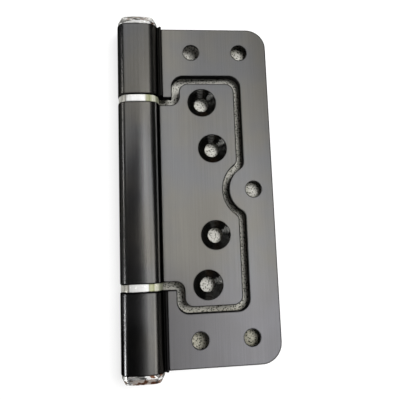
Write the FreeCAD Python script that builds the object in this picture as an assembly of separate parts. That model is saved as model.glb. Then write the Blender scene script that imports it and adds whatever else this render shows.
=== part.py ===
import FreeCAD, Part
import math
import os

V = FreeCAD.Vector

# Non-mortise hinge, five inches tall, closed: the inner leaf lies inside the outer one.
# Work is done about the pin: +Z up the pin, +X towards the free edge of the leaves,
# -Y towards the face that is seen when the hinge is closed. All lengths are millimetres.

# Outer leaf
leaf_height = 127.0          # five inches
leaf_thick = 3.2
leaf_reach = 49.7            # pin axis to the free edge
leaf_corner_r = 7.5
edge_break = 0.25            # along the outlines of both leaves, on both faces
end_band = 19.1              # height of the bands above and below the window
side_bar = 10.95             # width of the bar along the free edge
tab_beyond_rib = 3.55        # tab beside each end knuckle, from the rib to the window
end_knuckle = 27.6           # length of the upper and the lower knuckle
window_corner_r = 4.4
tab_corner_r = 0.5

# Slots between the leaves
slot_side = 2.4              # along the free edge
slot_root = 2.65             # beside the tabs
slot_above = 3.0             # the inner leaf sits a little low in the window
slot_below = 2.2
slot_round_boss = 2.25       # around the boss of the middle screw hole
neck_gap = 2.9               # between tab and neck, where the rings sit

# Inner leaf
plate_corner_r = 3.3
neck_corner_r = 3.3

# Boss of the middle screw hole, which bulges into the window
boss_r = 9.35
boss_hole_inset = 7.5        # free edge to the middle hole
boss_blend_r = 3.0
notch_blend_r = 2.5

# Screw holes
outer_hole_r = 3.0
inner_hole_r = 2.8
sink_land = 0.55             # straight part left below each 90 degree countersink
corner_hole_inset = 10.65    # free edge to the far pair of corner holes
corner_hole_pitch = 18.75    # far pair to near pair
inner_wide_shift = -1.95     # the two end holes of the inner leaf, from the plate's middle
inner_wide_inset = 7.6       # and from the plate's ends
inner_close_shift = 1.5      # the two middle holes of the inner leaf
inner_close_z = 16.3         # each side of the plate's middle

# Knuckle: a square with bulging faces and round corners
knuckle_half_width = 7.8
knuckle_half_depth = 6.8
face_bulge_r = 28.0
side_bulge_r = 15.0
knuckle_corner_r = 3.8
knuckle_wall = 1.55          # between the bore and the middle of the front face

# Rib beside the knuckle, which butts against the edge of what the leaf is screwed to
rib_foot_height = 1.35       # the step that the rib stands on, above the leaf's face
rib_height = 2.05            # rib above the leaf's face
rib_width = 0.95
rib_beyond_knuckle = 1.15    # knuckle's side to the rib's outer side
rib_top_r = 0.45             # nearly half the rib, so that its top is round
root_fillet_r = 0.4

# Pin, bushes, rings and caps
bush_wall = 1.73
pin_end_break = 0.5
running_gap = 0.05           # bush bore to pin
held_gap = 0.02              # pieces pushed into each other
thrust_gap = 0.2             # flange to end knuckle, each end
bush_barrel = 16.0
sleeve_in = 0.6              # sleeve set back from the knuckle's inner end
ring_inset = 0.2             # ring's outline inside the knuckle's
ring_corner_r = 5.0          # rounder than the knuckle's corners
ring_wall = 0.5              # at its thinnest, in front
ring_break = 0.2
ring_slack = 0.1             # ring shorter than the flange, so that it never drags
cap_inset = 0.3              # cap's outline inside the knuckle's
cap_band = 1.1               # upright part of the cap
cap_height = 3.1
cap_top_inset = 1.35
cap_plug = 6.0
pin_to_plug = 0.8

# Values that follow from the ones above
half_height = leaf_height / 2
face = leaf_thick / 2
window_right = leaf_reach - side_bar
window_half = half_height - end_band
knuckle_split = half_height - end_knuckle
neck_half = knuckle_split - neck_gap
rib_outer_x = knuckle_half_width + rib_beyond_knuckle
tab_reach = rib_outer_x + tab_beyond_rib
plate_left = tab_reach + slot_root
plate_right = window_right - slot_side
plate_top = window_half - slot_above
plate_bottom = -window_half + slot_below
plate_middle = (plate_top + plate_bottom) / 2
plate_middle_x = (plate_left + plate_right) / 2
boss_x = leaf_reach - boss_hole_inset
notch_r = boss_r + slot_round_boss
corner_hole_far = leaf_reach - corner_hole_inset
corner_hole_near = corner_hole_far - corner_hole_pitch
corner_hole_z = half_height - end_band / 2
inner_wide_z = (plate_top - plate_bottom) / 2 - inner_wide_inset
bore_r = knuckle_half_depth - knuckle_wall
pin_r = bore_r - held_gap - bush_wall
ring_inner_r = knuckle_half_depth - ring_inset - ring_wall
flange_r = ring_inner_r - held_gap
flange_thick = neck_gap - thrust_gap
sleeve_plug_z = half_height - cap_plug
pin_half = sleeve_plug_z - pin_to_plug

# The origin handed over: centre of the four corner holes, on the face that lies against
# what the outer leaf is screwed to
origin_x = (corner_hole_near + corner_hole_far) / 2
to_row = V(-origin_x, face, 0)


def knuckle_outline(inset=0.0, corner_r=knuckle_corner_r):
    """Closed outline of the knuckle in X and Y, drawn in by inset, from eight tangent arcs.

    corner_r is the radius of the corners before they are drawn in."""
    a = knuckle_half_width
    b = knuckle_half_depth
    # circles of the front face and of the outer side, and the corner circle inside both
    fy = face_bulge_r - b
    sx = a - side_bulge_r
    d1 = face_bulge_r - corner_r
    d2 = side_bulge_r - corner_r
    dx, dy = sx, -fy
    d = math.hypot(dx, dy)
    along = (d1 * d1 - d2 * d2 + d * d) / (2 * d)
    off = math.sqrt(max(d1 * d1 - along * along, 1e-6))
    cx = along * dx / d - off * dy / d
    cy = fy + along * dy / d + off * dx / d
    # corner in the quarter with x above 0 and y below 0
    ux, uy = cx / d1, (cy - fy) / d1
    wx, wy = (cx - sx) / d2, cy / d2
    r = corner_r - inset
    p = (cx + r * ux, cy + r * uy)
    q = (cx + r * wx, cy + r * wy)
    mx, my = ux + wx, uy + wy
    m = math.hypot(mx, my)
    mid = (cx + r * mx / m, cy + r * my / m)
    edges = []
    front, side = b - inset, a - inset
    # going round: front face, corner, right side, corner, back face, corner, left side, corner
    arcs = [((-p[0], p[1]), (0, -front), p), (p, mid, q), (q, (side, 0), (q[0], -q[1])),
            ((q[0], -q[1]), (mid[0], -mid[1]), (p[0], -p[1])),
            ((p[0], -p[1]), (0, front), (-p[0], -p[1])),
            ((-p[0], -p[1]), (-mid[0], -mid[1]), (-q[0], -q[1])),
            ((-q[0], -q[1]), (-side, 0), (-q[0], q[1])),
            ((-q[0], q[1]), (-mid[0], mid[1]), (-p[0], p[1]))]
    for s, m_, e in arcs:
        edges.append(Part.Arc(V(s[0], s[1], 0), V(m_[0], m_[1], 0), V(e[0], e[1], 0)).toShape())
    return Part.Wire(edges)


def upright(wire, z0, z1):
    """Prism over a wire drawn in X and Y, from z0 to z1."""
    face_ = Part.Face(wire)
    face_.translate(V(0, 0, z0))
    return face_.extrude(V(0, 0, z1 - z0))


def sheet(points, depth=60.0):
    """Prism through the leaf, along Y, over a polygon given by X and Z."""
    pts = [V(x, -depth / 2, z) for x, z in points]
    face_ = Part.Face(Part.makePolygon(pts + [pts[0]]))
    return face_.extrude(V(0, depth, 0))


def round_corners(solid, corners):
    """Round the edges along Y that pass through the given (x, z, radius) corners."""
    for x, z, r in corners:
        found = []
        for e in solid.Edges:
            a, b = e.Vertexes[0].Point, e.Vertexes[-1].Point
            along_y = abs(a.x - b.x) < 1e-4 and abs(a.z - b.z) < 1e-4 and abs(a.y - b.y) > 1
            if along_y and math.hypot(a.x - x, a.z - z) < 0.02:
                found.append(e)
        if found:
            solid = solid.makeFillet(r, found)
    return solid


def break_outline(leaf):
    """Chamfer the edges of the leaf's outline on both faces, outside the root."""
    found = []
    for e in leaf.Edges:
        a, b = e.Vertexes[0].Point, e.Vertexes[-1].Point
        m = e.valueAt((e.FirstParameter + e.LastParameter) / 2)
        in_face = all(abs(abs(p.y) - face) < 1e-4 for p in (a, b, m))
        along_root = abs(a.x - b.x) < 1e-4 and a.x < rib_outer_x + 0.5 * tab_beyond_rib
        if in_face and not along_root and m.x > rib_outer_x:
            found.append(e)
    return leaf.makeChamfer(edge_break, found)


def cylinder_y(x, z, r, y0, y1):
    return Part.makeCylinder(r, y1 - y0, V(x, y0, z), V(0, 1, 0))


def cylinder_z(r, z0, z1):
    return Part.makeCylinder(r, z1 - z0, V(0, 0, z0), V(0, 0, 1))


def screw_hole(x, z, r, mouth_side):
    """Through hole with a 90 degree countersink that opens on side -1 (front) or +1 (back)."""
    hole = cylinder_y(x, z, r, -3 * leaf_thick, 3 * leaf_thick)
    depth = leaf_thick - sink_land
    over = 1.0
    cone = Part.makeCone(r + depth + over, r, depth + over,
                         V(x, mouth_side * (face + over), z), V(0, -mouth_side, 0))
    return hole.fuse(cone)


def extrusion(length_low, length_high, reach, rib_side):
    """The section that both leaves are cut from: knuckle, root with its rib, and leaf.

    rib_side is -1 for a rib on the front face and +1 for one on the back face."""
    z0, z1 = length_low, length_high
    knuckle = upright(knuckle_outline(), z0, z1)
    leaf = Part.makeBox(reach - 0.5 * knuckle_half_width, leaf_thick, z1 - z0,
                        V(0.5 * knuckle_half_width, -face, z0))
    step_y = face + rib_foot_height
    rib_y = face + rib_height
    rib_inner_x = rib_outer_x - rib_width
    inside = 0.6 * knuckle_half_width
    pts = [(inside, 0), (rib_outer_x, 0), (rib_outer_x, rib_y), (rib_inner_x, rib_y),
           (rib_inner_x, step_y), (inside, step_y), (inside, 0)]
    root_wire = Part.makePolygon([V(x, rib_side * y, 0) for x, y in pts])
    root = upright(root_wire, z0, z1)
    tops = [e for e in root.Edges
            if abs(abs(e.Vertexes[0].Point.y) - rib_y) < 1e-4
            and abs(e.Vertexes[0].Point.x - e.Vertexes[-1].Point.x) < 1e-4
            and abs(e.Vertexes[0].Point.z - e.Vertexes[-1].Point.z) > 1]
    root = root.makeFillet(rib_top_r, tops)
    body = knuckle.fuse([leaf, root]).removeSplitter()
    # small fillet where the plain face of the leaf runs into the knuckle
    seam = [e for e in body.Edges
            if abs(e.Vertexes[0].Point.y + rib_side * face) < 1e-4
            and abs(e.Vertexes[0].Point.x - e.Vertexes[-1].Point.x) < 1e-4
            and abs(e.Vertexes[0].Point.z - e.Vertexes[-1].Point.z) > 1
            and e.Vertexes[0].Point.x < rib_outer_x]
    body = body.makeFillet(root_fillet_r, seam)
    return body.cut(cylinder_z(bore_r, z0 - 1, z1 + 1))


# Window of the outer leaf, open towards the pin between the end knuckles
window = sheet([(-20, -knuckle_split), (tab_reach, -knuckle_split), (tab_reach, -window_half),
                (window_right, -window_half), (window_right, window_half),
                (tab_reach, window_half), (tab_reach, knuckle_split), (-20, knuckle_split)])
window = window.cut(cylinder_y(boss_x, 0, boss_r, -40, 40))
boss_meets = math.sqrt(boss_r ** 2 - (boss_x - window_right) ** 2)
window = round_corners(window, [(tab_reach, -window_half, window_corner_r),
                                (tab_reach, window_half, window_corner_r),
                                (window_right, -window_half, window_corner_r),
                                (window_right, window_half, window_corner_r),
                                (window_right, boss_meets, boss_blend_r),
                                (window_right, -boss_meets, boss_blend_r),
                                (tab_reach, knuckle_split, tab_corner_r),
                                (tab_reach, -knuckle_split, tab_corner_r)])

# Outer leaf: upper and lower knuckle with the C-shaped plate, from one extrusion
outline = sheet([(-20, -half_height), (leaf_reach, -half_height),
                 (leaf_reach, half_height), (-20, half_height)])
outline = round_corners(outline, [(leaf_reach, -half_height, leaf_corner_r),
                                  (leaf_reach, half_height, leaf_corner_r)])
outer_leaf = extrusion(-half_height, half_height, leaf_reach, -1)
outer_leaf = break_outline(outer_leaf.common(outline).cut(window))
outer_holes = [(x, s * corner_hole_z) for x in (corner_hole_near, corner_hole_far)
               for s in (-1, 1)]
outer_holes.append((boss_x, 0))
for x, z in outer_holes:
    outer_leaf = outer_leaf.cut(screw_hole(x, z, outer_hole_r, 1))

# Inner leaf: centre knuckle with its plate, the same extrusion turned over
plate = sheet([(-20, -neck_half), (plate_left, -neck_half), (plate_left, plate_bottom),
               (plate_right, plate_bottom), (plate_right, plate_top),
               (plate_left, plate_top), (plate_left, neck_half), (-20, neck_half)])
plate = plate.cut(cylinder_y(boss_x, 0, notch_r, -40, 40))
notch_meets = math.sqrt(notch_r ** 2 - (boss_x - plate_right) ** 2)
plate = round_corners(plate, [(plate_left, -neck_half, neck_corner_r),
                              (plate_left, neck_half, neck_corner_r),
                              (plate_left, plate_bottom, plate_corner_r),
                              (plate_left, plate_top, plate_corner_r),
                              (plate_right, plate_bottom, plate_corner_r),
                              (plate_right, plate_top, plate_corner_r),
                              (plate_right, notch_meets, notch_blend_r),
                              (plate_right, -notch_meets, notch_blend_r)])
inner_leaf = extrusion(plate_bottom - 1, plate_top + 1, leaf_reach, 1).common(plate)
inner_leaf = break_outline(inner_leaf)
for s in (-1, 1):
    for dx, dz in ((inner_wide_shift, inner_wide_z), (inner_close_shift, inner_close_z)):
        inner_leaf = inner_leaf.cut(screw_hole(plate_middle_x + dx, plate_middle + s * dz,
                                               inner_hole_r, -1))

# Pin, held in the sleeves of the end knuckles
hinge_pin = cylinder_z(pin_r, -pin_half, pin_half)
hinge_pin = hinge_pin.makeChamfer(pin_end_break, [e for e in hinge_pin.Edges
                                                  if abs(abs(e.Vertexes[0].Point.z) - pin_half) < 1e-4
                                                  and abs(e.Vertexes[-1].Point.z
                                                          - e.Vertexes[0].Point.z) < 1e-4])


def inner_bush(s):
    """Flanged bush in one end of the centre knuckle; its flange runs on the end knuckle."""
    barrel = cylinder_z(bore_r - held_gap, neck_half - bush_barrel, neck_half + 0.1)
    flange = cylinder_z(flange_r, neck_half, neck_half + flange_thick)
    bush = barrel.fuse(flange).removeSplitter()
    bush = bush.cut(cylinder_z(pin_r + running_gap, 0, half_height))
    if s < 0:
        bush = bush.mirror(V(0, 0, 0), V(0, 0, 1))
    return bush


def outer_sleeve(s):
    """Sleeve that locks the pin in an end knuckle."""
    z0, z1 = knuckle_split + sleeve_in, sleeve_plug_z - pin_to_plug
    sleeve = cylinder_z(bore_r - held_gap, z0, z1).cut(cylinder_z(pin_r + held_gap, z0 - 1, z1 + 1))
    if s < 0:
        sleeve = sleeve.mirror(V(0, 0, 0), V(0, 0, 1))
    return sleeve


def trim_ring(s):
    """Bright ring around a bush flange, between square and round, with broken outer edges."""
    z0 = neck_half + ring_slack / 2
    z1 = neck_half + flange_thick - ring_slack / 2
    body = upright(knuckle_outline(ring_inset, ring_corner_r), z0, z1)
    rims = [e for e in body.Edges if abs(e.Vertexes[0].Point.z - e.Vertexes[-1].Point.z) < 1e-4]
    body = body.makeChamfer(ring_break, rims)
    ring = body.cut(cylinder_z(ring_inner_r, z0 - 1, z1 + 1))
    if s < 0:
        ring = ring.mirror(V(0, 0, 0), V(0, 0, 1))
    return ring


def end_cap(s):
    """Cap on a knuckle's outer end: upright band, drawn-in top, and a plug pressed in the bore."""
    z0 = half_height
    band = upright(knuckle_outline(cap_inset), z0, z0 + cap_band)
    low = knuckle_outline(cap_inset)
    low.translate(V(0, 0, z0 + cap_band))
    high = knuckle_outline(cap_top_inset)
    high.translate(V(0, 0, z0 + cap_height))
    crown = Part.makeLoft([low, high], True, True)
    plug = cylinder_z(bore_r - held_gap, z0 - cap_plug, z0 + 0.1)
    cap = band.fuse([crown, plug]).removeSplitter()
    if s < 0:
        cap = cap.mirror(V(0, 0, 0), V(0, 0, 1))
    return cap


parts = {
    "outer_leaf": outer_leaf,
    "inner_leaf": inner_leaf,
    "hinge_pin": hinge_pin,
    "upper_inner_bush": inner_bush(1),
    "lower_inner_bush": inner_bush(-1),
    "upper_outer_sleeve": outer_sleeve(1),
    "lower_outer_sleeve": outer_sleeve(-1),
    "upper_ring": trim_ring(1),
    "lower_ring": trim_ring(-1),
    "top_cap": end_cap(1),
    "bottom_cap": end_cap(-1),
}

os.makedirs("parts", exist_ok=True)
for name, shape in parts.items():
    shape.translate(to_row)
    if len(shape.Solids) == 1:
        shape = shape.Solids[0]
    print(name, "solids", len(shape.Solids), "valid", shape.isValid(),
          "volume", round(shape.Volume, 1))
    shape.exportStep("parts/%s.step" % name)
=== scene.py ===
import math

import bpy
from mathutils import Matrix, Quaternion, Vector


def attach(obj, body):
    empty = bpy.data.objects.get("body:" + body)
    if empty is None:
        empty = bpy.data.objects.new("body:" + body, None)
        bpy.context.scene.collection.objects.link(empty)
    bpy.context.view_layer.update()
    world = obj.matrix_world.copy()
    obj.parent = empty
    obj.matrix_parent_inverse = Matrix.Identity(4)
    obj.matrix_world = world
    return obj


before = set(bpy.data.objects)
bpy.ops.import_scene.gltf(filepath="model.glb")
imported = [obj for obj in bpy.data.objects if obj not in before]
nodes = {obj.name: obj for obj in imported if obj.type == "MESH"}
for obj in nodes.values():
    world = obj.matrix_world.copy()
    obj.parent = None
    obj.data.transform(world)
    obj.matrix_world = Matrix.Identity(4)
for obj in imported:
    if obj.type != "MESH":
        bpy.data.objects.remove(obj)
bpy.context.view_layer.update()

# Camera: close to the front face and a little below its middle, where the photograph was taken.
# The hinge fills the height of a square picture, and leans a little to the left in it.
eye = Vector((-0.02095, -0.17214, -0.02259))
looks_at = Vector((-0.00169, 0.0, 0.00202))
camera_roll = math.radians(-2.32)
camera = bpy.data.objects.new("camera", bpy.data.cameras.new("camera"))
bpy.context.collection.objects.link(camera)
camera.location = eye
camera.rotation_mode = "QUATERNION"
upright_view = (looks_at - eye).to_track_quat("-Z", "Y")
camera.rotation_quaternion = upright_view @ Quaternion((0, 0, 1), camera_roll)
camera.data.sensor_width = 36
camera.data.lens = 42.056
camera.data.shift_x = -0.0397
camera.data.shift_y = -0.0385
camera.data.clip_start = 0.01
bpy.context.scene.camera = camera

# Outer leaf: the C-shaped plate with the two end knuckles, sawn and milled from one extrusion.
# Aluminium, finely blasted and black anodised: a dark metal with a soft sheen, in warm and cool
# patches, bluish at the low end, with faint lines left by the extrusion die along Z.
pin_x, pin_y = -0.029675, 0.0016
rib_x = -0.0207
dye_warm = (0.335, 0.322, 0.292, 1)
dye_cool = (0.288, 0.290, 0.296, 1)
dye_low_end = (0.296, 0.292, 0.310, 1)
low_end_share = 0.8
leaf_grazing_tint = (0.25, 0.25, 0.25, 1)

# share of its brightness that the leaf keeps: on the whole knuckle, and where shade is painted
knuckle_tone = 0.73
shoulder_shade_tone = 0.51
foot_shade_tone = 0.40
free_edge_shade_tone = 0.86
sawn_shade_tone = 0.14
root_shade_tone = 0.12
flank_shade_tone = 0.15
rim_shade_tone = 0.12

# painted sheen: what it gains beside the rib above the low end
painted_sheen_gain = 0.26

# along X or Z, where each of these begins and where it is full
plate_x = (pin_x + 0.006, rib_x)
low_end_z = (-0.02, -0.05)
shoulder_shade_x = (pin_x + 0.0012, pin_x + 0.0045)
shoulder_shade_z = (0.036, 0.020)
foot_shade_x = (pin_x + 0.0040, pin_x)
foot_shade_z = (-0.038, -0.054)
rib_sheen_x = (-0.004, -0.019)
rib_sheen_z = (-0.040, -0.022)
free_edge_shade_x = (0.010, 0.019)
root_fade_in = 0.0005
root_fade_out = 0.0002

# by the normal, where sawn walls and ends, flanks and broken edges begin and where they are full
wall_turn = (0.97, 0.88)
end_turn = (0.4, 0.6)
outer_flank_turn = (-0.64, -0.72)
inner_flank_turn = (0.76, 0.86)
rim_turn = (0.99, 0.93)
walls_from_x = rib_x + 0.0003
inner_flank_to_x = pin_x + 0.0066

patch_size = 0.030
patch_span = (0.36, 0.64)
die_line_size = (0.00045, 0.00045, 0.045)
die_line_tones = (0.95, 1.05)
die_line_depth = 0.00001
grain_size = 0.00022
grain_tones = (0.94, 1.06)
grain_depth = 0.000012
rim_width = 0.0009
knuckle_rough = 0.23
plate_rough = 0.40
sawn_rough = 0.65
rough_change = 0.03

# nearly all of a noise lies within the wide span, and it often passes the ends of the narrow one
wide_span = (0.30, 0.70)
narrow_span = (0.35, 0.65)


def new_material(name, metallic=0, grazing_tint=(1, 1, 1, 1)):
    """A material with nothing in its node tree but its shader and its output."""
    material = bpy.data.materials.new(name)
    material.use_nodes = True
    tree = material.node_tree
    tree.nodes.clear()
    output = tree.nodes.new("ShaderNodeOutputMaterial")
    shader = tree.nodes.new("ShaderNodeBsdfPrincipled")
    shader.inputs["Metallic"].default_value = metallic
    shader.inputs["Specular Tint"].default_value = grazing_tint
    tree.links.new(shader.outputs["BSDF"], output.inputs["Surface"])
    return material, tree, shader


def coordinate(tree, kind):
    """X, Y and Z of the shaded point, or of its normal, in Object coordinates."""
    place = tree.nodes.new("ShaderNodeTexCoord")
    split = tree.nodes.new("ShaderNodeSeparateXYZ")
    tree.links.new(place.outputs[kind], split.inputs["Vector"])
    return split.outputs


def textured(tree, kind, size, turn=(0, 0, 0)):
    """A texture over Object coordinates; size is one patch, in metres, or three sizes."""
    place = tree.nodes.new("ShaderNodeTexCoord")
    mapping = tree.nodes.new("ShaderNodeMapping")
    sizes = size if isinstance(size, tuple) else (size, size, size)
    mapping.inputs["Scale"].default_value = [1 / s for s in sizes]
    mapping.inputs["Rotation"].default_value = turn
    texture = tree.nodes.new(kind)
    texture.inputs["Scale"].default_value = 1
    tree.links.new(place.outputs["Object"], mapping.inputs["Vector"])
    tree.links.new(mapping.outputs["Vector"], texture.inputs["Vector"])
    return texture


def noise(tree, size, detail=2, roughness=0.5):
    """Value of a noise with patches of the given size."""
    texture = textured(tree, "ShaderNodeTexNoise", size)
    texture.inputs["Detail"].default_value = detail
    texture.inputs["Roughness"].default_value = roughness
    return texture.outputs["Fac"]


def feed(tree, sockets, values):
    """Link each value to its socket, or set the socket to it where it is a plain value."""
    for socket, value in zip(sockets, values):
        if isinstance(value, bpy.types.NodeSocket):
            tree.links.new(value, socket)
        else:
            socket.default_value = value


def ranged(tree, value, span, results=(0, 1), smooth=True):
    """Map a value from one span to another, and hold it past the ends."""
    node = tree.nodes.new("ShaderNodeMapRange")
    node.interpolation_type = "SMOOTHSTEP" if smooth else "LINEAR"
    names = ("Value", "From Min", "From Max", "To Min", "To Max")
    feed(tree, [node.inputs[name] for name in names], (value, *span, *results))
    return node.outputs["Result"]


def toned(tree, mask, tone):
    """1 outside a mask, and the given tone inside it."""
    return ranged(tree, mask, (0, 1), (1, tone))


def blended(tree, factor, first, second, kind="RGBA", how="MIX"):
    """Mix two colours or values by a factor."""
    node = tree.nodes.new("ShaderNodeMix")
    node.data_type = kind
    if kind == "RGBA":
        node.blend_type = how
    feed(tree, [s for s in node.inputs if s.enabled], (factor, first, second))
    return [s for s in node.outputs if s.enabled][0]


def combined(tree, operation, *values):
    """Arithmetic on one or two values."""
    node = tree.nodes.new("ShaderNodeMath")
    node.operation = operation
    feed(tree, node.inputs, values)
    return node.outputs["Value"]


def product(tree, *values):
    """Product of two or more values."""
    result = values[0]
    for value in values[1:]:
        result = combined(tree, "MULTIPLY", result, value)
    return result


def scaled(tree, colour, factor):
    """A colour made brighter or darker by a factor."""
    node = tree.nodes.new("ShaderNodeVectorMath")
    node.operation = "SCALE"
    tree.links.new(colour, node.inputs[0])
    tree.links.new(factor, node.inputs["Scale"])
    return node.outputs["Vector"]


def rounded_normal(tree, radius):
    """The normal as if the edges were rounded by a radius in metres."""
    node = tree.nodes.new("ShaderNodeBevel")
    node.samples = 8
    node.inputs["Radius"].default_value = radius
    return node.outputs["Normal"]


def bumped(tree, shader, height, depth, under=None):
    """Bump of the given depth in metres, over an earlier normal if there is one."""
    node = tree.nodes.new("ShaderNodeBump")
    node.inputs["Strength"].default_value = 1
    node.inputs["Distance"].default_value = depth
    tree.links.new(height, node.inputs["Height"])
    if under is not None:
        tree.links.new(under, node.inputs["Normal"])
    tree.links.new(node.outputs["Normal"], shader.inputs["Normal"])
    return node.outputs["Normal"]


def dress(node, material):
    """Give a CAD node its finish."""
    mesh = nodes[node].data
    if not mesh.materials:
        mesh.materials.append(material)
    for index in range(len(mesh.materials)):
        mesh.materials[index] = material


def painted_shade_and_sheen(tree, point, plate):
    """Painted shade and sheen: darker on the whole knuckle, painted shade on its shoulder and foot and
    at the free edge, and a painted sheen by the rib.
    """
    shoulder_shade = product(tree, ranged(tree, point["X"], shoulder_shade_x),
                       ranged(tree, point["Z"], shoulder_shade_z))
    foot_shade = product(tree, ranged(tree, point["X"], foot_shade_x), ranged(tree, point["Z"], foot_shade_z))
    knuckle = product(tree, ranged(tree, shoulder_shade, (0, 1), (knuckle_tone, shoulder_shade_tone)),
                      toned(tree, foot_shade, foot_shade_tone))
    rib_sheen = product(tree, ranged(tree, point["X"], rib_sheen_x, (0, painted_sheen_gain)),
                   ranged(tree, point["Z"], rib_sheen_z), plate)
    return product(tree, blended(tree, plate, knuckle, 1.0, kind="FLOAT"),
                   ranged(tree, point["X"], free_edge_shade_x, (1, free_edge_shade_tone)),
                   combined(tree, "ADD", rib_sheen, 1.0))


def sawn_mask(tree, point, facing):
    """1 on the sawn outline and ends and on the walls of the holes."""
    walls = product(tree, ranged(tree, combined(tree, "ABSOLUTE", facing["Y"]), wall_turn),
                    combined(tree, "GREATER_THAN", point["X"], walls_from_x))
    ends = ranged(tree, combined(tree, "ABSOLUTE", facing["Z"]), end_turn)
    return combined(tree, "MAXIMUM", walls, ends)


def flank_shade_mask(tree, point, facing):
    """1 on the two flanks of the knuckle, where shade is painted: the outer one, and the inner one
    above the root.
    """
    outer = product(tree, ranged(tree, facing["X"], outer_flank_turn),
                    combined(tree, "LESS_THAN", point["X"], pin_x))
    inner = product(tree, ranged(tree, facing["X"], inner_flank_turn),
                    combined(tree, "LESS_THAN", point["X"], inner_flank_to_x))
    return combined(tree, "MAXIMUM", outer, inner)


def painted_rim_shade(tree):
    """Painted shade on the broken edges round the outline, the slot and the holes."""
    surface = tree.nodes.new("ShaderNodeNewGeometry")
    same = tree.nodes.new("ShaderNodeVectorMath")
    same.operation = "DOT_PRODUCT"
    tree.links.new(rounded_normal(tree, rim_width), same.inputs[0])
    tree.links.new(surface.outputs["Normal"], same.inputs[1])
    return ranged(tree, same.outputs["Value"], rim_turn, (1, rim_shade_tone))


def black_anodised(name, root_start, root_end):
    """Finish of one leaf, with painted shade in the root between knuckle and plate, which goes from one
    X to another.
    """
    material, tree, shader = new_material(name, metallic=1, grazing_tint=leaf_grazing_tint)
    point = coordinate(tree, "Object")
    facing = coordinate(tree, "Normal")
    patches = noise(tree, patch_size, detail=3, roughness=0.6)
    die_lines = noise(tree, die_line_size, detail=3, roughness=0.7)
    grain = noise(tree, grain_size, detail=2, roughness=0.6)
    plate = ranged(tree, point["X"], plate_x)
    low_end = product(tree, plate, ranged(tree, point["Z"], low_end_z, (0, low_end_share)))
    dye = blended(tree, ranged(tree, patches, patch_span), dye_cool, dye_warm)
    dye = blended(tree, low_end, dye, dye_low_end)
    sawn = sawn_mask(tree, point, facing)
    root = product(tree, ranged(tree, point["X"], (root_start, root_start + root_fade_in)),
                   ranged(tree, point["X"], (root_end, root_end - root_fade_out)))
    # painted shade on the sawn walls and ends, in the root, on the flanks and on the broken edges
    brightness = product(tree, toned(tree, sawn, sawn_shade_tone), toned(tree, root, root_shade_tone),
                         toned(tree, flank_shade_mask(tree, point, facing), flank_shade_tone),
                         painted_rim_shade(tree),
                         ranged(tree, die_lines, wide_span, die_line_tones),
                         painted_shade_and_sheen(tree, point, plate),
                         ranged(tree, grain, wide_span, grain_tones))
    tree.links.new(scaled(tree, dye, brightness), shader.inputs["Base Color"])
    # the milled and blasted plate is a little rougher than the drawn knuckle
    satin = ranged(tree, plate, (0, 1), (knuckle_rough, plate_rough))
    change = ranged(tree, patches, wide_span, (-rough_change, rough_change))
    rough = combined(tree, "MAXIMUM", combined(tree, "ADD", satin, change),
                     product(tree, sawn, sawn_rough))
    tree.links.new(rough, shader.inputs["Roughness"])
    blasted = bumped(tree, shader, grain, grain_depth)
    bumped(tree, shader, die_lines, die_line_depth, under=blasted)
    return material


dress("outer_leaf", black_anodised("black anodised outer", root_start=pin_x + 0.0058,
                                   root_end=rib_x + 0.0003))

# Inner leaf: the plate with the centre knuckle, cut from the same extrusion turned over.
# It closes inside the outer leaf, with its four countersinks open at the front face.
dress("inner_leaf", black_anodised("black anodised inner", root_start=pin_x + 0.0063,
                                   root_end=rib_x - 0.0011))

# Screw seats: the 90 degree countersinks, turned with a single point after the blasting.
# Their walls are glossier than the face, with fine rings that catch the light.
# Painted shade makes them darker than the face.
# Each is a grid bent to a cone, with the rings in its form, just above the wall of its hole.
leaf_thick = 0.0032
seat_land = 0.00055
inner_hole_r = 0.0028
outer_hole_r = 0.0030
groove_pitch = 0.00070
groove_depth = 0.000036
seat_lift = 0.00004
hole_clearance = 0.00004
mouth_clearance = 0.00006
points_round = 97
points_down = 65
weld_distance = 1e-6
# painted shade: the seat walls are far darker than the face
shaded_seat_dark = (0.060, 0.060, 0.057, 1)
shaded_seat_light = (0.120, 0.120, 0.113, 1)
seat_grazing_tint = (0.4, 0.4, 0.4, 1)
seat_rough = (0.11, 0.18)
scratch_size = 0.0007
scratch_depth = 0.00001
inner_seats = [(-0.005875, 0.0338), (-0.005875, -0.0346), (-0.002425, 0.0159), (-0.002425, -0.0167)]
outer_seats = [(x, z) for x in (-0.009375, 0.009375) for z in (-0.05395, 0.05395)] + [(0.012525, 0)]


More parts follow.
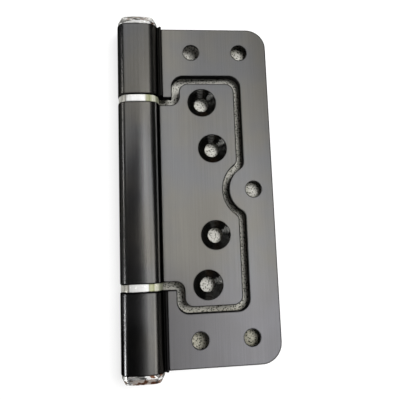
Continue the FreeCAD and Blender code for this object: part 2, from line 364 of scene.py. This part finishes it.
def turned_seat_tree():
    """Turned cone walls on every point of a mesh: a grid bent round the screw's axis."""
    tree = bpy.data.node_groups.new("turned screw seats", "GeometryNodeTree")
    sockets = tree.interface
    sockets.new_socket("Geometry", in_out="INPUT", socket_type="NodeSocketGeometry")
    for name in ("Hole Radius", "Mouth Radius", "Groove Pitch", "Groove Depth", "Lift", "Opens"):
        sockets.new_socket(name, in_out="INPUT", socket_type="NodeSocketFloat")
    sockets.new_socket("Finish", in_out="INPUT", socket_type="NodeSocketMaterial")
    sockets.new_socket("Geometry", in_out="OUTPUT", socket_type="NodeSocketGeometry")
    link = tree.links.new
    given = tree.nodes.new("NodeGroupInput").outputs
    out = tree.nodes.new("NodeGroupOutput")

    grid = tree.nodes.new("GeometryNodeMeshGrid")
    grid.inputs["Vertices X"].default_value = points_round
    grid.inputs["Vertices Y"].default_value = points_down
    where = tree.nodes.new("GeometryNodeInputPosition")
    split = tree.nodes.new("ShaderNodeSeparateXYZ")
    link(where.outputs["Position"], split.inputs["Vector"])
    angle = product(tree, split.outputs["X"], 2 * math.pi, given["Opens"])
    along = combined(tree, "ADD", split.outputs["Y"], 0.5)

    # down the wall: radius grows from the hole to the mouth, and the groove stands off it
    reach = combined(tree, "SUBTRACT", given["Mouth Radius"], given["Hole Radius"])
    radius = combined(tree, "ADD", given["Hole Radius"], product(tree, along, reach))
    slope = product(tree, along, reach, math.sqrt(2))
    turn = product(tree, combined(tree, "DIVIDE", slope, given["Groove Pitch"]), 2 * math.pi)
    wave = product(tree, combined(tree, "SINE", turn), given["Groove Depth"])
    stand = combined(tree, "DIVIDE", combined(tree, "ADD", wave, given["Lift"]), math.sqrt(2))
    radius_out = combined(tree, "SUBTRACT", radius, stand)
    wall_depth = combined(tree, "SUBTRACT", given["Mouth Radius"], radius)
    depth = combined(tree, "SUBTRACT", wall_depth, stand)
    place = tree.nodes.new("ShaderNodeCombineXYZ")
    link(product(tree, radius_out, combined(tree, "COSINE", angle)), place.inputs["X"])
    link(product(tree, depth, given["Opens"]), place.inputs["Y"])
    link(product(tree, radius_out, combined(tree, "SINE", angle)), place.inputs["Z"])
    bend = tree.nodes.new("GeometryNodeSetPosition")
    link(grid.outputs["Mesh"], bend.inputs["Geometry"])
    link(place.outputs["Vector"], bend.inputs["Position"])

    # the two ends of the bent grid meet, and are welded
    close = tree.nodes.new("GeometryNodeMergeByDistance")
    close.inputs["Distance"].default_value = weld_distance
    link(bend.outputs["Geometry"], close.inputs["Geometry"])
    smooth = tree.nodes.new("GeometryNodeSetShadeSmooth")
    link(close.outputs["Geometry"], smooth.inputs["Geometry"])
    spread = tree.nodes.new("GeometryNodeInstanceOnPoints")
    link(given["Geometry"], spread.inputs["Points"])
    link(smooth.outputs["Geometry"], spread.inputs["Instance"])
    real = tree.nodes.new("GeometryNodeRealizeInstances")
    link(spread.outputs["Instances"], real.inputs["Geometry"])
    finish = tree.nodes.new("GeometryNodeSetMaterial")
    link(real.outputs["Geometry"], finish.inputs["Geometry"])
    link(given["Finish"], finish.inputs["Material"])
    link(finish.outputs["Geometry"], out.inputs["Geometry"])
    return tree


def input_id(tree, name):
    """Identifier of a named input of a node tree."""
    for item in tree.interface.items_tree:
        if item.item_type == "SOCKET" and item.in_out == "INPUT" and item.name == name:
            return item.identifier


def turned_seats(name, centres, face_y, opens, hole_r, finish, body):
    """Screw seats on one leaf; opens is 1 for seats cut from -Y and -1 for seats cut from +Y."""
    points = bpy.data.meshes.new(name)
    points.from_pydata([(x, face_y, z) for x, z in centres], [], [])
    holder = bpy.data.objects.new(name + "_points", points)
    bpy.context.collection.objects.link(holder)
    modifier = holder.modifiers.new("seats", "NODES")
    modifier.node_group = seat_tree
    mouth_r = hole_r + leaf_thick - seat_land - mouth_clearance
    for socket, value in (("Hole Radius", hole_r + hole_clearance), ("Mouth Radius", mouth_r),
                          ("Groove Pitch", groove_pitch), ("Groove Depth", groove_depth),
                          ("Lift", seat_lift), ("Opens", opens), ("Finish", finish)):
        modifier[input_id(seat_tree, socket)] = value
    ready = holder.evaluated_get(bpy.context.evaluated_depsgraph_get())
    mesh = bpy.data.meshes.new_from_object(ready)
    piece = bpy.data.objects.new(name, mesh)
    bpy.context.collection.objects.link(piece)
    bpy.data.objects.remove(holder)
    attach(piece, body)


def mottled(tree, shader, patches, dark, light, roughness):
    """Colour and roughness that both follow one noise."""
    colour = blended(tree, ranged(tree, patches, narrow_span), dark, light)
    tree.links.new(colour, shader.inputs["Base Color"])
    tree.links.new(ranged(tree, patches, wide_span, roughness), shader.inputs["Roughness"])


seat_tree = turned_seat_tree()
seat_black, tree, shader = new_material("turned black", metallic=1, grazing_tint=seat_grazing_tint)
scratches = noise(tree, scratch_size, detail=3)
mottled(tree, shader, scratches, shaded_seat_dark, shaded_seat_light, seat_rough)
bumped(tree, shader, scratches, scratch_depth)
turned_seats("inner_screw_seats", inner_seats, face_y=0.0, opens=1.0, hole_r=inner_hole_r,
             finish=seat_black, body="inner")
turned_seats("outer_screw_seats", outer_seats, face_y=leaf_thick, opens=-1.0,
             hole_r=outer_hole_r, finish=seat_black, body="outer")

# Bushes and sleeves: turned from black acetal and pressed into the knuckles round the pin.
# A hard, slightly waxy plastic with faint turning marks round the axis.
acetal_dark = (0.030, 0.030, 0.033, 1)
acetal_light = (0.044, 0.044, 0.046, 1)
acetal_rough = (0.38, 0.50)
bloom_size = 0.004
turning_mark_size = (0.02, 0.02, 0.00018)
turning_mark_depth = 0.00001
acetal, tree, shader = new_material("black acetal")
mottled(tree, shader, noise(tree, bloom_size, detail=3), acetal_dark, acetal_light, acetal_rough)
bumped(tree, shader, noise(tree, turning_mark_size), turning_mark_depth)
for name in ("upper_inner_bush", "lower_inner_bush", "upper_outer_sleeve", "lower_outer_sleeve"):
    dress(name, acetal)

# Pin: ground steel rod that runs through all three knuckles, hidden when the caps are on.
# Very fine grinding lines run round it, with a trace of oil that varies its gloss.
steel_dark = (0.52, 0.52, 0.53, 1)
steel_light = (0.60, 0.60, 0.60, 1)
steel_rough = (0.20, 0.32)
oil_size = 0.006
grinding_line_size = (0.02, 0.02, 0.00012)
grinding_line_depth = 0.000006
steel, tree, shader = new_material("ground steel", metallic=1)
mottled(tree, shader, noise(tree, oil_size, detail=3), steel_dark, steel_light, steel_rough)
bumped(tree, shader, noise(tree, grinding_line_size, detail=3, roughness=0.7), grinding_line_depth)
dress("hinge_pin", steel)

# Rings: turned brass collars that hide the bush flanges, nickel plated and buffed to satin.
# The front carries painted reflections in upright bands: white in the middle, with a dark line at
# the left and an olive patch at the right, and fine streaks in them.
ring_half_width = 0.0064
painted_reflection_bands = ((0.00, (0.55, 0.54, 0.48, 1)), (0.11, (0.62, 0.60, 0.54, 1)),
              (0.16, (0.26, 0.25, 0.22, 1)), (0.20, (0.95, 0.95, 0.93, 1)),
              (0.50, (0.96, 0.96, 0.94, 1)), (0.69, (0.96, 0.96, 0.94, 1)),
              (0.73, (0.36, 0.36, 0.26, 1)), (0.83, (0.38, 0.40, 0.22, 1)),
              (0.90, (0.85, 0.85, 0.70, 1)), (1.00, (0.30, 0.31, 0.22, 1)))
ring_rough = (0.20, 0.28)
ring_edge_r = 0.00025
streak_size = (0.0009, 0.0009, 0.05)
streak_tones = (0.86, 1.0)
streak_depth = 0.00003
streak_sway = 0.0004
haze_size = 0.0009
nickel, tree, shader = new_material("satin nickel", metallic=0.35)
streaks = noise(tree, streak_size)
haze = noise(tree, haze_size, detail=3, roughness=0.6)
sway = ranged(tree, streaks, wide_span, (-streak_sway, streak_sway))
across = combined(tree, "ADD", coordinate(tree, "Object")["X"], sway)
across = ranged(tree, across, (pin_x - ring_half_width, pin_x + ring_half_width), smooth=False)
# painted reflections in upright bands across the front
painted_reflections = tree.nodes.new("ShaderNodeValToRGB")
tree.links.new(across, painted_reflections.inputs["Fac"])
stops = painted_reflections.color_ramp.elements
while len(stops) > 1:
    stops.remove(stops[-1])
stops[0].position, stops[0].color = painted_reflection_bands[0]
for position, colour in painted_reflection_bands[1:]:
    stops.new(position).color = colour
brightness = ranged(tree, streaks, narrow_span, streak_tones)
tree.links.new(scaled(tree, painted_reflections.outputs["Color"], brightness), shader.inputs["Base Color"])
tree.links.new(ranged(tree, haze, wide_span, ring_rough), shader.inputs["Roughness"])
bumped(tree, shader, streaks, streak_depth, under=rounded_normal(tree, ring_edge_r))
dress("upper_ring", nickel)
dress("lower_ring", nickel)

# Caps: zinc castings that close the knuckles, chromed. The casting is a little uneven, which
# shows through the bright plate as wavering reflections. Both have painted dark streaks, painted
# shade on their flanks and painted brown reflections, the brown on the bottom one all round and
# on the top one mostly on its right.
chrome_dim = (0.86, 0.85, 0.82, 1)
chrome_bright = (0.93, 0.93, 0.92, 1)
chrome_grazing_tint = (0.30, 0.30, 0.28, 1)
chrome_rough = (0.07, 0.14)
cap_edge_r = 0.00035
dent_size = (0.0030, 0.0030, 0.0014)
dent_depth = 0.00035
painted_brown_reflection = (0.20, 0.095, 0.055, 1)
brown_reflection_size = (0.0026, 0.0026, 0.0018)
brown_reflection_reach = (0.49, 0.54)
painted_dark_streak = (0.10, 0.10, 0.09, 1)
dark_streak_size = (0.0030, 0.0030, 0.0005)
dark_streak_reach = (0.54, 0.58)
dark_streak_share = 0.9
cap_flank_shade = (0.16, 0.16, 0.15, 1)
flank_turn = (0.70, 0.90)
cap_flank_shade_share = 0.8

# what is added to the noise of the painted brown reflections: by the cap's height, and on the right of
# the top cap
cap_z = (0.02, -0.02)
brown_reflection_by_cap = (-0.22, -0.01)
right_x = (pin_x + 0.001, pin_x + 0.0045)
brown_reflection_at_right = 0.16
chrome, tree, shader = new_material("bright chrome", metallic=0.75,
                                    grazing_tint=chrome_grazing_tint)
point = coordinate(tree, "Object")
facing = coordinate(tree, "Normal")
dents = noise(tree, dent_size)
haze = noise(tree, haze_size, detail=3, roughness=0.6)
brown_reflection = noise(tree, brown_reflection_size, detail=3, roughness=0.6)
dark_streak = noise(tree, dark_streak_size)
more_brown_at_right = product(tree, ranged(tree, point["X"], right_x, (0, brown_reflection_at_right)),
                   combined(tree, "GREATER_THAN", point["Z"], 0.0))
brown_reflection = combined(tree, "ADD", brown_reflection, ranged(tree, point["Z"], cap_z, brown_reflection_by_cap))
brown_reflection = combined(tree, "ADD", brown_reflection, more_brown_at_right)
cap_flank_shade_mask = ranged(tree, combined(tree, "ABSOLUTE", facing["X"]), flank_turn, (0, cap_flank_shade_share))
# painted brown reflections, painted dark streaks and painted shade on the flanks
plate = blended(tree, ranged(tree, dents, narrow_span), chrome_dim, chrome_bright)
plate = blended(tree, ranged(tree, brown_reflection, brown_reflection_reach), plate, painted_brown_reflection)
plate = blended(tree, ranged(tree, dark_streak, dark_streak_reach, (0, dark_streak_share)), plate, painted_dark_streak)
plate = blended(tree, cap_flank_shade_mask, plate, cap_flank_shade)
tree.links.new(plate, shader.inputs["Base Color"])
tree.links.new(ranged(tree, haze, wide_span, chrome_rough), shader.inputs["Roughness"])
bumped(tree, shader, dents, dent_depth, under=rounded_normal(tree, cap_edge_r))
dress("top_cap", chrome)
dress("bottom_cap", chrome)

# Floor: a white board that the hinge lies on, resting on its rings and on the back edge of the
# leaf, with a sheet of speckled stone paper under the hinge that shows through slots and holes.
# The board glows a little, so that it comes out white, and from behind it can be seen through.
floor_slope = math.radians(-6.66)
floor_half = 0.6
rest_point = Vector((0.020025, 0.0032, 0))
board_dim = (0.25, 0.25, 0.248, 1)
board_bright = (0.27, 0.27, 0.268, 1)
board_patch = 0.003
near_glow = 0.80
far_glow = 1.0
glow_grows = (0.10, 0.22)
sheet_x, sheet_half_x, sheet_half_z = -0.00975, 0.02675, 0.0615
sheet_edge = 0.001
speck_pale = (0.56, 0.55, 0.51, 1)
speck_mid = (0.33, 0.325, 0.29, 1)
speck_dark = (0.07, 0.07, 0.06, 1)
speck_size = 0.00100
speck_reach = (0.18, 0.28)
grit_size = 0.00045
grit_span = (0.35, 0.60)
ragged_edge = 0.12
gap_shade_tint = (0.33, 0.325, 0.28, 1)
gap_reach = 0.008
gap_open = (0.18, 0.36)
low_end_tint = (0.78, 0.765, 0.69, 1)
sheet_low_end_z = (-0.040, -0.048)


def stage_object(name, corners, faces, material):
    """An object for the stage, made of flat faces."""
    mesh = bpy.data.meshes.new(name)
    mesh.from_pydata(corners, [], faces)
    mesh.materials.append(material)
    piece = bpy.data.objects.new(name, mesh)
    bpy.context.collection.objects.link(piece)
    return piece


def stone_paper(tree, point):
    """Colour of the sheet: dark specks with ragged edges on a mottled ground, painted shade in narrow
    gaps, darker at the low end.
    """
    specks = textured(tree, "ShaderNodeTexVoronoi", speck_size, turn=(math.pi / 2, 0, 0))
    specks.voronoi_dimensions = "2D"
    grit = noise(tree, grit_size, roughness=0.75)
    ragged = combined(tree, "ADD", specks.outputs["Distance"],
                      ranged(tree, grit, wide_span, (-ragged_edge, ragged_edge)))
    mottle = blended(tree, ranged(tree, grit, grit_span), speck_mid, speck_pale)
    stone = blended(tree, ranged(tree, ragged, speck_reach), speck_dark, mottle)
    # painted shade where the sheet lies in a narrow gap, and at the foot of each hole
    gap = tree.nodes.new("ShaderNodeAmbientOcclusion")
    gap.samples = 16
    gap.inputs["Distance"].default_value = gap_reach
    gap_shaded = blended(tree, 1.0, stone, gap_shade_tint, how="MULTIPLY")
    stone = blended(tree, ranged(tree, gap.outputs["AO"], gap_open), gap_shaded, stone)
    # the sheet is darker and warmer towards its low end
    darker_low_end = blended(tree, 1.0, stone, low_end_tint, how="MULTIPLY")
    return blended(tree, ranged(tree, point["Z"], sheet_low_end_z), stone, darker_low_end)


def shown(tree):
    """1 for rays that bring the background to the picture, straight or by way of metal."""
    ray = tree.nodes.new("ShaderNodeLightPath").outputs
    mirrored = combined(tree, "MAXIMUM", ray["Is Glossy Ray"], ray["Is Transmission Ray"])
    return combined(tree, "MAXIMUM", ray["Is Camera Ray"], mirrored)


board, tree, shader = new_material("pale worktop")
point = coordinate(tree, "Object")
from_middle = combined(tree, "ABSOLUTE", combined(tree, "SUBTRACT", point["X"], sheet_x))
from_centre = combined(tree, "ABSOLUTE", point["Z"])
on_sheet = product(tree, ranged(tree, from_middle, (sheet_half_x, sheet_half_x - sheet_edge)),
                   ranged(tree, from_centre, (sheet_half_z, sheet_half_z - sheet_edge)))
white = blended(tree, noise(tree, board_patch), board_dim, board_bright)
colour = blended(tree, on_sheet, white, stone_paper(tree, point))
tree.links.new(colour, shader.inputs["Base Color"])
shader.inputs["Roughness"].default_value = 0.9
shader.inputs["Specular IOR Level"].default_value = 0.1

# the glow grows away from the hinge, where the lamps' light falls off
place = tree.nodes.new("ShaderNodeTexCoord")
away = tree.nodes.new("ShaderNodeVectorMath")
away.operation = "LENGTH"
tree.links.new(place.outputs["Object"], away.inputs[0])
glow = ranged(tree, away.outputs["Value"], glow_grows, (near_glow, far_glow))
glow = product(tree, shown(tree), combined(tree, "SUBTRACT", 1.0, on_sheet), glow)
shader.inputs["Emission Color"].default_value = (1, 1, 1, 1)
tree.links.new(glow, shader.inputs["Emission Strength"])

# its back is clear, and it casts no shadow
side = tree.nodes.new("ShaderNodeNewGeometry")
ray = tree.nodes.new("ShaderNodeLightPath")
clear = tree.nodes.new("ShaderNodeBsdfTransparent")
choose = tree.nodes.new("ShaderNodeMixShader")
through = combined(tree, "MAXIMUM", side.outputs["Backfacing"], ray.outputs["Is Shadow Ray"])
tree.links.new(through, choose.inputs["Fac"])
tree.links.new(shader.outputs["BSDF"], choose.inputs[1])
tree.links.new(clear.outputs["BSDF"], choose.inputs[2])
output = next(n for n in tree.nodes if n.type == "OUTPUT_MATERIAL")
tree.links.new(choose.outputs["Shader"], output.inputs["Surface"])
along = Vector((math.cos(floor_slope), math.sin(floor_slope), 0))
corners = [rest_point + sx * floor_half * along + Vector((0, 0, sz * floor_half))
           for sx, sz in ((-1, -1), (1, -1), (1, 1), (-1, 1))]
floor = stage_object("floor", corners, [(0, 1, 2, 3)], board)

# Room: white walls all round, pure white where the camera or the metal shows them.
# They light matt surfaces a little less strongly than that.
room_light = 0.9
world = bpy.data.worlds.new("white room")
world.use_nodes = True
tree = world.node_tree
background = tree.nodes["Background"]
background.inputs["Color"].default_value = (1, 1, 1, 1)
tree.links.new(combined(tree, "MAXIMUM", shown(tree), room_light), background.inputs["Strength"])
bpy.context.scene.world = world

# Screen: dark felt, hung in an arc round the front, behind the camera, where no picture shows
# it. The black metal mirrors it between the lamps.
screen_r = 0.75
screen_low, screen_top = -2.2, 2.2
screen_half_turn = math.radians(115)
screen_half_steps = 24
felt_dark = (0.015, 0.015, 0.015, 1)
felt_light = (0.03, 0.03, 0.03, 1)
nap_size = 0.004
felt, tree, shader = new_material("dark felt")
tree.links.new(blended(tree, noise(tree, nap_size), felt_dark, felt_light), shader.inputs["Base Color"])
shader.inputs["Roughness"].default_value = 1
arc = []
for step in range(-screen_half_steps, screen_half_steps + 1):
    turn = screen_half_turn * step / screen_half_steps
    arc.append((pin_x + screen_r * math.sin(turn), -screen_r * math.cos(turn)))
corners = [(x, y, screen_low) for x, y in arc] + [(x, y, screen_top) for x, y in arc]
count = len(arc)
faces = [(i, i + 1, count + i + 1, count + i) for i in range(count - 1)]
screen = stage_object("dim_screen", corners, faces, felt)
screen.visible_camera = False

# Shelves: two boards of brown wood, one above the hinge and one below it, out of the picture.
# The rounded ends of the chromed caps mirror them.
shelf_half_x, shelf_half_y = 0.10, 0.09
shelf_y = -0.08
wood_dark = (0.06, 0.045, 0.03, 1)
wood_light = (0.30, 0.17, 0.10, 1)
wood_grain_size = (0.30, 0.012, 0.012)
wood_grain_span = (0.4, 0.6)
wood, tree, shader = new_material("brown wood")
wood_grain = ranged(tree, noise(tree, wood_grain_size, detail=3), wood_grain_span)
tree.links.new(blended(tree, wood_grain, wood_dark, wood_light), shader.inputs["Base Color"])
shader.inputs["Roughness"].default_value = 0.6
for name, level, shift in (("shelf_above", 0.36, 0.03), ("shelf_below", -0.36, 0.0)):
    corners = [(pin_x + shift + shelf_half_x * i, shelf_y + shelf_half_y * j, level)
               for i, j in ((-1, -1), (1, -1), (1, 1), (-1, 1))]
    shelf = stage_object(name, corners, [(0, 1, 2, 3)], wood)
    shelf.visible_camera = False

# Lamps: soft boxes inside the screen, and one behind the hinge. The lamps that the metal mirrors
# give no light to matt surfaces, and the window lights only those, so that floor and plastic keep
# their colours while each reflection stands where the photograph has it.
lamp_away = 0.60
window_away = 0.70
watts_per_area = 4


def soft_lamp(name, across, above, away, width, height, brightness, lean=0, shape="RECTANGLE",
              mirrored=True):
    """Soft lamp, placed by its angles from the front as the pin sees it, in degrees.

    It is as bright as a surface that glows with the same strength. mirrored is True for a lamp
    that only metal shows, False for one that lights only matt surfaces, and None for both.
    """
    lamp = bpy.data.lights.new(name, "AREA")
    lamp.shape = shape
    lamp.size, lamp.size_y = width, height
    area = width * height * (math.pi / 4 if shape == "ELLIPSE" else 1)
    lamp.energy = brightness * watts_per_area * area
    holder = bpy.data.objects.new(name, lamp)
    bpy.context.collection.objects.link(holder)
    turn, rise = math.radians(across), math.radians(above)
    aim = Vector((pin_x, pin_y, 0))
    towards = Vector((math.sin(turn) * math.cos(rise), -math.cos(turn) * math.cos(rise),
                      math.sin(rise)))
    holder.location = aim + away * towards
    level_view = (aim - holder.location).to_track_quat("-Z", "Y")
    holder.rotation_mode = "QUATERNION"
    holder.rotation_quaternion = level_view @ Quaternion((0, 0, 1), math.radians(lean))
    holder.visible_camera = False
    if mirrored is not None:
        holder.visible_glossy = mirrored
        holder.visible_diffuse = not mirrored


# broad reflections on the plates and on the front of the knuckles
soft_lamp("key", 19.5, -2.1, lamp_away, 0.273, 0.568, 1.20, lean=34, shape="ELLIPSE")
soft_lamp("fill", -9.8, 33.4, lamp_away, 0.709, 0.376, 0.47, lean=12.8)
soft_lamp("low", 15, -24, lamp_away, 0.30, 0.30, 0.62)
soft_lamp("under", 20, -46, lamp_away, 0.32, 0.14, 0.8)
# narrow reflections along the left shoulder of the knuckles
soft_lamp("strip", -72.5, -15, lamp_away, 0.045, 0.22, 3.6, lean=-30)
soft_lamp("strip_above", -69, 15, lamp_away, 0.05, 0.24, 2.4)
# the gleam in the screw seats
soft_lamp("side", -75.5, -28.5, lamp_away, 0.15, 0.28, 11.0)
# light on the floor and on the other matt surfaces
soft_lamp("window", 19, 8.5, window_away, 0.30, 0.30, 18.0, mirrored=False)
# light on the back of the hinge
soft_lamp("back", 160, 25, lamp_away, 0.50, 0.40, 2.0, mirrored=None)

bpy.context.scene.view_settings.view_transform = "Standard"
